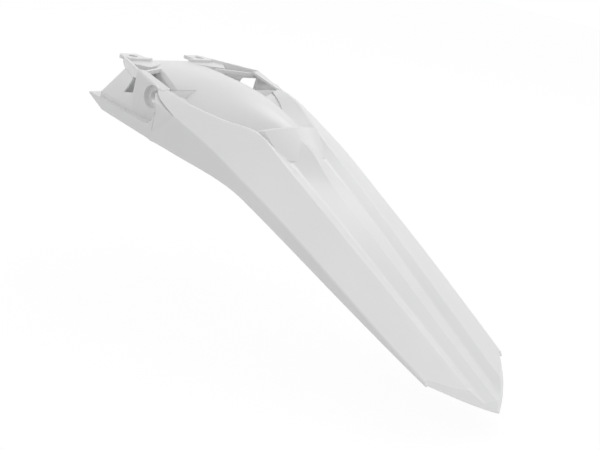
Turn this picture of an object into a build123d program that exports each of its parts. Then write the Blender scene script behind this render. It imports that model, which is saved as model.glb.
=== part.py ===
"""Rear fender of an off-road motorcycle, one thin moulding.

X runs rearward along the bike, Y to its right side and Z up. The origin lies between the two bolt holes, on top
of the bolt tabs, which are level in this frame. The skin is the difference of two bodies, its outside and its
inside, and every section of the inside is the same section of the outside, set in by the wall.
"""

import os

from build123d import *

os.makedirs("parts", exist_ok=True)

# Skin
wall = 3.0
top_drop = 3.4  # the wall measured straight down through the sloping deck

# Tail deck, from its front end to past the tail tip: one value for each section
deck_x = (92.0, 154.0, 180.0, 204.0, 225.0, 269.0, 324.0, 430.0, 540.0)
ridge_z = (-11.0, -25.0, -30.0, -31.5, -33.3, -60.2, -90.6, -149.1, -208.5)
valley_y = (48.0, 44.0, 30.0, 30.0, 28.9, 26.8, 24.7, 19.0, 14.5)
valley_z = (-14.5, -33.2, -34.5, -37.0, -45.2, -66.2, -94.8, -153.0, -211.5)
shoulder_y = (87.5, 79.0, 63.0, 48.0, 45.0, 44.0, 40.8, 33.5, 27.0)
shoulder_z = (-9.5, -20.0, -25.0, -28.5, -38.5, -61.7, -90.5, -147.8, -206.5)
crease_y = (114.6, 106.7, 103.2, 100.7, 98.8, 93.3, 87.5, 76.5, 58.0)
crease_z = (-14.5, -33.0, -42.0, -51.0, -60.0, -79.7, -105.2, -157.0, -209.0)
skirt_flare = 3.0
skirt_depth = 60.0
valley_round = 8.0
shoulder_round = 4.0
crease_round = 2.0

# Hem, the lower edge of the lips and skirts seen from the side
hem_heel = (10.0, -59.8)
hem_arch = (108.0, -61.5)
hem_bend = (157.5, -67.5)
hem_rear = (245.0, -84.6)
hem_corner = (481.0, -184.6)
hem_turn = (504.0, -195.4)
hem_tip = (525.5, -208.5)

# Tail end, a blunt V with bowed sides seen from above, and a leaning end wall
tail_corner = (493.5, 70.0)
tail_bow = 3.8
tail_lean = 28.0

# Hump over the wheel, from its pointed bow to its pointed stern
hump_x = (2.0, 45.0, 115.0, 165.0, 250.0)
hump_top = (-3.0, -1.0, -2.0, -10.3, -37.0)
hump_half = (38.0, 48.0, 64.0, 54.0, 16.0)
hump_side = (-5.0, -7.0, -26.0, -40.0, -50.0)
dome_base = -70.0
hump_round = 5.0

# Saddle under the stern of the hump, which closes the grooves at its sides
saddle_x = (184.0, 205.0, 255.0)
saddle_top = (-37.0, -24.5, -40.0)
saddle_half = (51.0, 44.0, 34.0)
saddle_side = (-39.0, -27.5, -44.0)
saddle_round = 1.5

# Stern of hump and saddle, cut to a blunt V with bowed sides and a leaning wall
stern_z = -50.0
stern_tip_x = 245.0
stern_corner = (229.0, 46.0)
stern_bow = 4.0
stern_lean = 45.0

# Front arch: side walls that lean out towards the lips, under upright fence walls
arch_front_x = -3.0
arch_half_foot = 88.0
arch_half_waist = 58.0
arch_half_top = 66.0
corner_x = 62.0
corner_half = 97.0
foot_z = -42.0
waist_z = -15.0
pocket_floor = -40.0
pocket_end = 104.0
fence_round = 3.0

# Front end of the skirts, with a corner of the deck that reaches forward along the fence
skirt_x = 115.5
corner_reach = 94.0
corner_foot = -26.0

# Front plate, between the fence walls and ahead of the bow
plate_z = -3.0
plate_tip_x = 7.5
plate_knee = (40.0, 59.0)
plate_end = (18.0, 76.0)
throat_x = 6.5
throat_half = 38.0

# Straps that tie the hump to the fence walls across the pockets
strap_inner = (38.0, 44.0)
strap_outer = (58.0, 90.0)
strap_width = 4.0
strap_top = -3.5
strap_depth = 4.5

# Lips along the foot of the arch, running forward of it
lip_z = -47.5
lip_tip_x = -23.0
lip_tip_z = -49.5
lip_tip_half = 88.5
lip_back_half = 112.6
cove_radius = 15.5

# Flange ledges along the falling tops of the fence walls
ledge_width = 12.0
ledge_outer_z = (0.0, -11.7)
ledge_inner_z = (-1.0, -10.0)

# Bolt tabs
hole_spacing = 104.0
hole_radius = 5.5
tab_front_x = -12.0
tab_back_x = 12.5
tab_inner = 29.0
tab_outer = 66.0
tab_thick = 4.0
tab_round = 8.0
gusset_inner = 46.0
gusset_outer = 58.0
gusset_drop = 11.0

# Side bores
bore_x = 91.0
bore_z = -22.3
bore_radius = 7.0
recess_radius = 12.5
recess_depth = 5.0
boss_radius = 13.8
boss_depth = 10.0

# Windows through the fence walls, seen from the side
window_outline = ((45.0, -13.0), (61.0, -9.5), (59.0, -27.0), (36.0, -32.0))
window_inner = 80.0

# Seam where the side panel laps over the front of the skirts
seam_step = 1.2
seam_ledge = (98.0, -12.0)
seam_crease = (140.0, -28.5)
seam_hem = (107.0, -63.0)

# Reach of the cuts that pass clean through the moulding, and how near counts as touching
beyond = 400.0
below = -90.0
touch = 0.1


def both_sides(points):
    """Closed outline from the points of its right half; those on the centre line stay single."""
    return [(x, -y) for x, y in reversed(points) if y > 0] + list(points)


def guide(ys, zs):
    """Smooth line along the deck through one point at each station."""
    with BuildLine() as line:
        Spline(*zip(deck_x, ys, zs))
    return line.edge()


def deck_body(inset, drop, rounded=True):
    """Tail deck with its skirts: straight strips across, between guides that run along it."""
    crease = [y - inset for y in crease_y], [z - drop for z in crease_z]
    half = [
        ([y + skirt_flare for y in crease[0]], [z - skirt_depth for z in crease_z]),
        crease,
        ([y - inset / 2 for y in shoulder_y], [z - drop for z in shoulder_z]),
        (valley_y, [z - drop for z in valley_z]),
    ]
    ridge = [0.0] * len(deck_x), [z - drop for z in ridge_z]
    left = [([-y for y in ys], zs) for ys, zs in half]
    guides = [guide(ys, zs) for ys, zs in left + [ridge] + half[::-1]]
    strips = [Face.make_surface_from_curves(a, b) for a, b in zip(guides, guides[1:] + guides[:1])]
    ends = [Face(Wire.make_polygon([line @ end for line in guides])) for end in (0, 1)]
    with BuildPart() as body:
        add(Solid(Shell(strips + ends)))
        rounds = (crease_round, shoulder_round, valley_round) if rounded else ()
        for radius, (ys, zs) in zip(rounds, half[1:]):
            starts = [Vector(deck_x[0], side * ys[0], zs[0]) for side in (-1, 1)]
            long_edges = body.edges().filter_by(lambda e: e.bounding_box().size.X > deck_x[-1] - deck_x[1])
            fillet([e for e in long_edges if any(e.distance_to(at) < touch for at in starts)], radius)
    return body.part


def behind_v(tip_x, corner, bow, z, lean, grow):
    """What lies behind a bowed V seen from above, drawn at one level and leaning forward above it."""
    side_x, side_y = corner
    middle = ((tip_x + side_x) / 2 + bow, side_y / 2)
    with BuildPart() as body:
        with BuildSketch(Plane.XY.offset(z)):
            with BuildLine():
                ThreePointArc((tip_x, 0), middle, corner)
                Polyline(corner, (side_x, beyond), (2 * beyond, beyond), (2 * beyond, 0), (tip_x, 0))
            make_face()
            mirror(about=Plane.XZ)
            offset(amount=grow, kind=Kind.INTERSECTION)
        extrude(amount=-below, taper=-lean)
        extrude(body.faces().sort_by(Axis.Z)[0], amount=-2 * below)
    return body.part


def ahead_of_plate(shift):
    """What lies ahead of the V-shaped back edge of the front plate."""
    with BuildPart() as body:
        with BuildSketch(Plane.XY.offset(2 * below)):
            with BuildLine():
                Polyline(
                    *both_sides(
                        [
                            (plate_tip_x + shift, 0),
                            (plate_knee[0] + shift, plate_knee[1]),
                            (plate_end[0] + shift, plate_end[1]),
                            (plate_end[0] + shift, beyond),
                            (-beyond, beyond),
                        ]
                    ),
                    close=True,
                )
            make_face()
        extrude(amount=beyond)
    return body.part


def domed_body(stations, inset, drop, brow_round):
    """Domed back with upright sides, through one section at each station."""
    base = dome_base - 2 * inset
    length = stations[-1][0] - stations[0][0]
    with BuildPart() as body:
        for x, top, half, side in stations:
            right = half - inset
            edge = side - drop / 2
            with BuildSketch(Plane.YZ.offset(x)):
                with BuildLine():
                    ThreePointArc((-right, edge), (0, top - drop), (right, edge))
                    Polyline((right, edge), (right, base), (-right, base), (-right, edge))
                make_face()
        loft()
        brows = [e for e in body.edges() if e.bounding_box().size.X > length - touch]
        fillet(sorted(brows, key=lambda e: e.center().Z)[-2:], brow_round)
    return body.part


def hump_body(inset, drop, shift):
    """Hump and saddle in one, pointed at the bow and at the stern."""
    hump = list(zip(hump_x, hump_top, hump_half, hump_side))
    saddle = list(zip(saddle_x, saddle_top, saddle_half, saddle_side))
    with BuildPart() as body:
        add(domed_body(hump, inset, drop, hump_round))
        add(domed_body(saddle, inset, drop, saddle_round))
        add(behind_v(stern_tip_x, stern_corner, stern_bow, stern_z, stern_lean, inset), mode=Mode.SUBTRACT)
        add(ahead_of_plate(shift), mode=Mode.SUBTRACT)
    return body.part


def arch_body(inset, front, bottom, top):
    """Front arch between two levels: walls that lean out towards the lips and stand upright above."""
    back = [(corner_x, corner_half - inset), (skirt_x + wall, corner_half - inset)]
    share = (front - arch_front_x) / (corner_x - arch_front_x)
    foot, waist, head = (
        both_sides([(front, half + share * (corner_half - half) - inset)] + back)
        for half in (arch_half_foot, arch_half_waist, arch_half_top)
    )
    levels = ((below, foot), (foot_z, foot), (waist_z, waist), (0, head), (-below, head))
    with BuildPart() as body:
        for (low_z, low), (high_z, high) in zip(levels, levels[1:]):
            for z, outline in ((low_z, low), (high_z, high)):
                with BuildSketch(Plane.XY.offset(z)):
                    with BuildLine():
                        Polyline(*outline, close=True)
                    make_face()
            loft(ruled=True)
        split(bisect_by=Plane.XY.offset(top), keep=Keep.BOTTOM)
        split(bisect_by=Plane.XY.offset(bottom), keep=Keep.TOP)
    return body.part


def lip_body(inset):
    """Lips: the foot of the skirts running forward, cut away above with a cove at the back."""
    back_x = skirt_x + inset
    with BuildPart() as body:
        with BuildSketch(Plane.XY.offset(below)):
            with BuildLine():
                Polyline(
                    *both_sides([(lip_tip_x + inset, lip_tip_half - inset), (back_x, lip_back_half - inset)]),
                    close=True,
                )
            make_face()
        extrude(amount=crease_z[0] - below)
        with BuildSketch(Plane.XZ):
            with BuildLine():
                FilletPolyline(
                    (-beyond, lip_z - inset),
                    (back_x, lip_z - inset),
                    (back_x, beyond),
                    (-beyond, beyond),
                    radius=[0, cove_radius + inset, 0, 0],
                    close=True,
                )
            make_face()
        extrude(amount=beyond, both=True, mode=Mode.SUBTRACT)
    return body.part


def slab(x_from, x_to, half, z_from, z_to):
    """Block across the middle of the moulding."""
    with BuildPart() as body:
        with BuildSketch(Plane.XY.offset(z_from)):
            with Locations(((x_from + x_to) / 2, 0)):
                Rectangle(x_to - x_from, 2 * half)
        extrude(amount=z_to - z_from)
    return body.part


def side_plate(outline, y_from, y_to):
    """Plate seen from the side, standing between two distances from the middle, on both sides."""
    with BuildPart() as body:
        with BuildSketch(Plane.XZ.offset(-y_to)):
            with BuildLine():
                Polyline(*outline, close=True)
            make_face()
        extrude(amount=y_to - y_from)
        mirror(about=Plane.XZ)
    return body.part


def lip_space(inset):
    """Space of the lips and above them, outside the fence walls and ahead of the skirts."""
    outline = [(-beyond, 2 * below), (skirt_x + inset, 2 * below), (skirt_x + inset, beyond), (-beyond, beyond)]
    return side_plate(outline, corner_half - inset, beyond)


tail = (hem_tip[0], tail_corner, tail_bow, hem_tip[1], tail_lean)

with BuildPart() as fence:
    add(arch_body(0, arch_front_x, below, 0))
    with BuildSketch(Plane.XZ):
        with BuildLine():
            Polyline(
                (corner_x, ledge_outer_z[0]),
                (pocket_end, ledge_outer_z[1]),
                (pocket_end + wall, pocket_floor),
                (beyond, pocket_floor),
                (beyond, beyond),
                (corner_x, beyond),
                close=True,
            )
        make_face()
    extrude(amount=beyond, both=True, mode=Mode.SUBTRACT)
    walls = fence.edges().filter_by(lambda e: abs(abs(e.center().Y) - corner_half) < touch)
    brows = walls.filter_by_position(Axis.Z, bore_z, beyond)
    fillet([e for e in brows if e.bounding_box().size.X > (pocket_end - corner_x) / 2], fence_round)

seam_front = side_plate(
    [(0, 0), (seam_ledge[0], 0), seam_ledge, seam_crease, seam_hem, (0, seam_hem[1])],
    0,
    beyond,
)

with BuildPart() as seam:
    add(deck_body(seam_step, seam_step))
    add(seam_front, mode=Mode.INTERSECT)

with BuildPart() as deck:
    add(deck_body(0, 0))
    add(seam_front, mode=Mode.SUBTRACT)
    add(seam.part)

deck_inside = deck_body(wall, top_drop, rounded=False)

with BuildPart() as deck_corners:
    with BuildSketch(Plane.XY.offset(corner_foot)):
        with BuildLine():
            Polyline(
                (corner_reach, corner_half - touch),
                (skirt_x + wall, corner_half - touch),
                (skirt_x + wall, lip_back_half + wall),
                close=True,
            )
        make_face()
    extrude(amount=beyond)
    mirror(about=Plane.XZ)
    add(deck.part, mode=Mode.INTERSECT)
    add(deck_inside, mode=Mode.SUBTRACT)

with BuildPart() as outside:
    add(deck.part)
    add(lip_space(0), mode=Mode.SUBTRACT)
    add(deck_corners.part)
    add(fence.part)
    add(lip_body(0))
    add(behind_v(*tail, 0), mode=Mode.SUBTRACT)

with BuildPart() as pocket:
    add(arch_body(wall, arch_front_x, pocket_floor, beyond))
    add(ahead_of_plate(0), mode=Mode.SUBTRACT)
    add(slab(pocket_end, 2 * beyond, beyond, 2 * below, beyond), mode=Mode.SUBTRACT)

with BuildPart() as plate_space:
    add(arch_body(wall, arch_front_x - wall, plate_z, beyond))
    add(ahead_of_plate(wall), mode=Mode.INTERSECT)

with BuildPart() as ledges:
    for x, outer_z, inner_z in zip((corner_x, pocket_end), ledge_outer_z, ledge_inner_z):
        with BuildSketch(Plane.YZ.offset(x)):
            with BuildLine():
                Polyline(
                    (corner_half - wall, outer_z),
                    (corner_half - ledge_width, inner_z),
                    (corner_half - ledge_width, inner_z - wall),
                    (corner_half - wall, outer_z - wall),
                    close=True,
                )
            make_face()
    loft(ruled=True)
    mirror(about=Plane.XZ)

with BuildPart() as tabs:
    with BuildSketch():
        with Locations(((tab_front_x + tab_back_x) / 2, (tab_inner + tab_outer) / 2)):
            RectangleRounded(tab_back_x - tab_front_x, tab_outer - tab_inner, tab_round)
    extrude(amount=-tab_thick)
    with BuildSketch(Plane.XZ.offset(-gusset_outer)):
        with BuildLine():
            Polyline(
                (tab_front_x + wall, -tab_thick),
                (arch_front_x + wall, -tab_thick),
                (arch_front_x + wall, -tab_thick - gusset_drop),
                (arch_front_x, -tab_thick - gusset_drop),
            )
            RadiusArc(
                (arch_front_x, -tab_thick - gusset_drop),
                (tab_front_x + wall, -tab_thick),
                gusset_drop,
            )
        make_face()
    extrude(amount=gusset_outer - gusset_inner)
    mirror(about=Plane.XZ)

with BuildPart() as straps:
    with BuildSketch(Plane.XY.offset(strap_top)):
        with BuildLine():
            Polyline(
                strap_inner,
                (strap_inner[0] + strap_width, strap_inner[1]),
                (strap_outer[0] + strap_width, strap_outer[1]),
                strap_outer,
                close=True,
            )
        make_face()
    extrude(amount=-strap_depth)
    mirror(about=Plane.XZ)

with BuildPart() as bosses:
    with BuildSketch(Plane.XZ.offset(-corner_half)):
        with Locations((bore_x, bore_z)):
            Circle(boss_radius)
    extrude(amount=boss_depth)
    mirror(about=Plane.XZ)

with BuildPart() as inside:
    add(deck_inside)
    add(slab(0, pocket_end + wall, beyond, 2 * below, beyond), mode=Mode.SUBTRACT)
    add(lip_space(wall), mode=Mode.SUBTRACT)
    add(behind_v(*tail, wall), mode=Mode.SUBTRACT)
    add(lip_body(wall))
    add(arch_body(wall, arch_front_x - wall, below, pocket_floor - wall))
    add(hump_body(wall, top_drop, -2 * wall))

with BuildPart() as front_space:
    add(arch_body(wall, arch_front_x - wall, below, plate_z - wall))
    add(ahead_of_plate(-wall), mode=Mode.INTERSECT)

with BuildPart() as rear_fender:
    add(outside.part)
    add(pocket.part, mode=Mode.SUBTRACT)
    add(plate_space.part, mode=Mode.SUBTRACT)
    for piece in (ledges, tabs, straps, bosses):
        add(piece.part)
    add(hump_body(0, 0, 0))
    add(inside.part, mode=Mode.SUBTRACT)
    add(front_space.part, mode=Mode.SUBTRACT)
    add(side_plate(window_outline, window_inner, beyond), mode=Mode.SUBTRACT)
    add(slab(2 * arch_front_x - beyond, throat_x, throat_half, below, beyond), mode=Mode.SUBTRACT)
    with BuildSketch(Plane.XZ):
        with BuildLine():
            foot = Polyline(hem_heel, hem_arch)
            run = Line(hem_rear, hem_corner)
            Spline(hem_arch, hem_bend, hem_rear, tangents=(foot % 1, run % 0))
            ThreePointArc(hem_corner, hem_turn, hem_tip)
            Polyline(
                hem_tip,
                (hem_tip[0] + beyond, hem_tip[1]),
                (hem_tip[0] + beyond, -beyond),
                (lip_tip_x - wall, -beyond),
                (lip_tip_x - wall, lip_tip_z),
                (lip_tip_x, lip_tip_z),
                hem_heel,
            )
        make_face()
    extrude(amount=beyond, both=True, mode=Mode.SUBTRACT)
    with GridLocations(0, hole_spacing, 1, 2):
        Hole(hole_radius, depth=tab_thick + gusset_drop)
    for side in (-1, 1):
        with Locations(Plane(origin=(bore_x, side * corner_half, bore_z), z_dir=(0, side, 0))):
            CounterBoreHole(bore_radius, recess_radius, recess_depth, depth=boss_depth)

rear_fender.part.label = "rear_fender"
export_step(rear_fender.part, "parts/rear_fender.step")
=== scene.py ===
# %% [markdown]
# # A white motorcycle rear fender
# The fender is one thin moulding in white polypropylene. Its exact shape comes with the frame, so this lesson is
# about the rest: seeing it from the right place, giving the plastic a moulded finish, and lighting white on white
# so that every fold still reads.

import bpy
from mathutils import Matrix, Vector


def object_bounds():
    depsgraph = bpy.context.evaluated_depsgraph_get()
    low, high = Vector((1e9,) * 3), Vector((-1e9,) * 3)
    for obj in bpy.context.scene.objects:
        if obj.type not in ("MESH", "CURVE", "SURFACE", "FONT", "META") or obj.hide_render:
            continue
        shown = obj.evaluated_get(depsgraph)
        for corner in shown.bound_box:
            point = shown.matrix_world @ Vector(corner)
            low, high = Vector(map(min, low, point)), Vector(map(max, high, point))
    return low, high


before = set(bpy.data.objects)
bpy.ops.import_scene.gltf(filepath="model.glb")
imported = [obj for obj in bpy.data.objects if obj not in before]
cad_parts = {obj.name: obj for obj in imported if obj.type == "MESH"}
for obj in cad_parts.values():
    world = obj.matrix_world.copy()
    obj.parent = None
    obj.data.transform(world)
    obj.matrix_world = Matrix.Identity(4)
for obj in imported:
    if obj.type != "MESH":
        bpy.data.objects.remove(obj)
cad_low, cad_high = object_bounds()
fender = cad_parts["rear_fender"]
print("fender box in mm:", [round(1000 * (b - a), 1) for a, b in zip(cad_low, cad_high)])

# %% [markdown]
# ## The camera
# A camera can be found from a picture of a mirrored object: the left and right twin of every feature lie on lines
# that meet in one point, and that point fixes which way the camera turns. Here the result is a 60 mm lens a little
# over a metre from the fender, above its left rear corner and rolled a few degrees. The three directions below are
# the columns of the camera's own axes, so the roll is kept, which a track-to constraint would lose.

# %% Camera
camera_data = bpy.data.cameras.new("studio_camera")
camera_data.lens = 60.0
camera_data.sensor_width = 36.0
camera_data.clip_start = 0.05
camera_data.clip_end = 30.0
camera = bpy.data.objects.new("studio_camera", camera_data)
bpy.context.scene.collection.objects.link(camera)

camera_place = Vector((0.8752, -0.8111, 0.2058))
camera_right = Vector((0.7343, 0.6490, 0.1990)).normalized()
camera_forward = Vector((-0.5830, 0.7530, -0.3040))
camera_forward = (camera_forward - camera_right * camera_forward.dot(camera_right)).normalized()
camera_up = camera_right.cross(camera_forward)
camera_axes = Matrix((camera_right, camera_up, -camera_forward)).transposed()
camera.matrix_world = Matrix.Translation(camera_place) @ camera_axes.to_4x4()
bpy.context.scene.camera = camera
print("camera looks along", [round(v, 3) for v in camera_forward])

# %% [markdown]
# ## The plastic
# Polypropylene body panels leave the mould with a satin skin: nearly smooth, with a very fine pebble that breaks up
# the highlights, and slow waves where the wall cooled unevenly. White plastic is never pure white, so the colour is
# a light grey that drifts slightly over the length of the part, and a little light wanders through the thin wall.
# All patterns read Object coordinates, in metres, so a noise scale of 900 makes pebbles of about a millimetre.
# The bevel node rounds the shading of the trimmed edges by half a millimetre, as a real mould does.

# %% Pattern helpers
def noise(tree, place, scale, detail):
    """Noise pattern that sticks to the object."""
    node = tree.nodes.new("ShaderNodeTexNoise")
    node.inputs["Scale"].default_value = scale
    node.inputs["Detail"].default_value = detail
    tree.links.new(place.outputs["Object"], node.inputs["Vector"])
    return node.outputs["Fac"]


def bump(tree, height, strength, distance, under):
    """Bump on top of another normal."""
    node = tree.nodes.new("ShaderNodeBump")
    node.inputs["Strength"].default_value = strength
    node.inputs["Distance"].default_value = distance
    tree.links.new(height, node.inputs["Height"])
    tree.links.new(under, node.inputs["Normal"])
    return node.outputs["Normal"]


print("helpers:", noise.__name__, bump.__name__)


# %% White polypropylene
def white_plastic():
    """Satin white polypropylene with a pebbled skin."""
    material = bpy.data.materials.new("white_polypropylene")
    material.use_nodes = True
    tree = material.node_tree
    shader = tree.nodes["Principled BSDF"]
    shader.inputs["IOR"].default_value = 1.49
    shader.inputs["Subsurface Weight"].default_value = 0.25
    shader.inputs["Subsurface Radius"].default_value = (1.0, 1.0, 1.0)
    shader.inputs["Subsurface Scale"].default_value = 0.002
    place = tree.nodes.new("ShaderNodeTexCoord")

    shade = tree.nodes.new("ShaderNodeValToRGB")
    shade.color_ramp.elements[0].position = 0.35
    shade.color_ramp.elements[0].color = (0.800, 0.802, 0.805, 1.0)
    shade.color_ramp.elements[1].position = 0.65
    shade.color_ramp.elements[1].color = (0.828, 0.829, 0.830, 1.0)
    tree.links.new(noise(tree, place, 9.0, 3.0), shade.inputs["Fac"])
    tree.links.new(shade.outputs["Color"], shader.inputs["Base Color"])

    pebble = noise(tree, place, 900.0, 2.0)
    gloss = tree.nodes.new("ShaderNodeMapRange")
    gloss.inputs["To Min"].default_value = 0.26
    gloss.inputs["To Max"].default_value = 0.38
    tree.links.new(pebble, gloss.inputs["Value"])
    tree.links.new(gloss.outputs["Result"], shader.inputs["Roughness"])

    edge = tree.nodes.new("ShaderNodeBevel")
    edge.samples = 6
    edge.inputs["Radius"].default_value = 0.0006
    pebbled = bump(tree, pebble, 0.12, 0.00006, edge.outputs["Normal"])
    waved = bump(tree, noise(tree, place, 22.0, 1.0), 0.08, 0.0005, pebbled)
    tree.links.new(waved, shader.inputs["Normal"])
    return material


plastic = white_plastic()
fender.data.materials.clear()
fender.data.materials.append(plastic)
print("plastic nodes:", len(plastic.node_tree.nodes))

# %% [markdown]
# ## White for the eye only
# The fender hangs in a white studio. Camera, glossy and transmission rays see plain white, and all other rays see
# what really lights the scene. The floor and the surround below both use this switch.

# %% White for the eye only
WHITE_RAYS = ("Is Camera Ray", "Is Glossy Ray", "Is Transmission Ray")


def seen_directly(tree):
    """One where a ray comes from the camera, a reflection or a refraction."""
    path = tree.nodes.new("ShaderNodeLightPath")
    total = path.outputs[WHITE_RAYS[0]]
    for kind in WHITE_RAYS[1:]:
        larger = tree.nodes.new("ShaderNodeMath")
        larger.operation = "MAXIMUM"
        tree.links.new(total, larger.inputs[0])
        tree.links.new(path.outputs[kind], larger.inputs[1])
        total = larger.outputs["Value"]
    return total


print("plain white for:", ", ".join(WHITE_RAYS))

# %% [markdown]
# ## The floor
# The floor lies a little under the tail. It keeps a small share of its matt surface even for the camera, so the
# fender's soft shadow stays on it.

# %% Floor
reach = 6.0
gap_under_tail = 0.02
white_share = 0.88
floor_z = cad_low.z - gap_under_tail
floor_mesh = bpy.data.meshes.new("studio_floor")
floor_mesh.from_pydata(
    [(-reach, -reach, floor_z), (reach, -reach, floor_z), (reach, reach, floor_z), (-reach, reach, floor_z)],
    [],
    [(0, 1, 2, 3)],
)
floor = bpy.data.objects.new("studio_floor", floor_mesh)
bpy.context.scene.collection.objects.link(floor)

floor_white = bpy.data.materials.new("studio_floor")
floor_white.use_nodes = True
floor_tree = floor_white.node_tree
matt = floor_tree.nodes["Principled BSDF"]
matt.inputs["Base Color"].default_value = (0.8, 0.8, 0.8, 1.0)
matt.inputs["Roughness"].default_value = 0.9
glow = floor_tree.nodes.new("ShaderNodeEmission")
glow.inputs["Strength"].default_value = 1.05
share = floor_tree.nodes.new("ShaderNodeMath")
share.operation = "MULTIPLY"
share.inputs[1].default_value = white_share
floor_mix = floor_tree.nodes.new("ShaderNodeMixShader")
floor_tree.links.new(seen_directly(floor_tree), share.inputs[0])
floor_tree.links.new(share.outputs["Value"], floor_mix.inputs["Fac"])
floor_tree.links.new(matt.outputs["BSDF"], floor_mix.inputs[1])
floor_tree.links.new(glow.outputs["Emission"], floor_mix.inputs[2])
floor_tree.links.new(floor_mix.outputs["Shader"], floor_tree.nodes["Material Output"].inputs["Surface"])
floor_mesh.materials.append(floor_white)
print("floor lies", round(1000 * (cad_low.z - floor_z), 1), "mm under the tail")

# %% [markdown]
# ## The surround
# The world gives most of the light, evenly from all sides. It is dimmer than the white that the camera sees, so the
# plastic stays a light grey against it.

# %% Surround
world = bpy.data.worlds.new("studio_world")
world.use_nodes = True
bpy.context.scene.world = world
world_tree = world.node_tree
surround = world_tree.nodes["Background"]
surround.inputs["Color"].default_value = (1.0, 1.0, 1.0, 1.0)
surround.inputs["Strength"].default_value = 0.63
backdrop = world_tree.nodes.new("ShaderNodeBackground")
backdrop.inputs["Color"].default_value = (1.0, 1.0, 1.0, 1.0)
backdrop.inputs["Strength"].default_value = 1.0
world_mix = world_tree.nodes.new("ShaderNodeMixShader")
world_tree.links.new(seen_directly(world_tree), world_mix.inputs["Fac"])
world_tree.links.new(surround.outputs["Background"], world_mix.inputs[1])
world_tree.links.new(backdrop.outputs["Background"], world_mix.inputs[2])
world_tree.links.new(world_mix.outputs["Shader"], world_tree.nodes["World Output"].inputs["Surface"])
print("surround strength:", round(surround.inputs["Strength"].default_value, 2))

# %% [markdown]
# ## Lamps
# The key light stands high on the fender's right, so that faces turned to the left fall into a light grey, which
# is what makes white on white readable. A small one on the left draws a thin highlight along the crease of the
# skirt. A low strip on the right is mirrored only where the deck's creases turn, and draws the bright lines along
# them. A very small lamp behind the tail lifts its cut face.

# %% Lamps
def softbox(name, place, aim, width, height, power):
    """Rectangular area lamp that faces a point."""
    lamp = bpy.data.lights.new(name, "AREA")
    lamp.shape = "RECTANGLE"
    lamp.size = width
    lamp.size_y = height
    lamp.energy = power
    holder = bpy.data.objects.new(name, lamp)
    bpy.context.scene.collection.objects.link(holder)
    holder.location = place
    holder.rotation_mode = "QUATERNION"
    holder.rotation_quaternion = (Vector(aim) - Vector(place)).to_track_quat("-Z", "Y")
    return holder


middle = (cad_low + cad_high) / 2
deck_crease = (0.38, -0.04, -0.12)
tail_tip = (0.5, 0.0, -0.2)
softbox("key_softbox", (-0.1, 1.25, 1.6), middle, 1.2, 1.2, 9.6)
softbox("edge_softbox", (-0.1, -0.85, 1.0), middle, 0.2, 0.2, 1.3)
softbox("tail_softbox", (1.1, -0.15, -0.14), tail_tip, 0.16, 0.16, 0.6)
softbox("crease_softbox", (0.22, 1.66, 0.9), deck_crease, 1.0, 0.12, 1.7)

# %% [markdown]
# ## Finish
# The picture is shown without a filmic curve, so a grey renders as it is written.

# %% Finish
bpy.context.scene.view_settings.view_transform = "Standard"
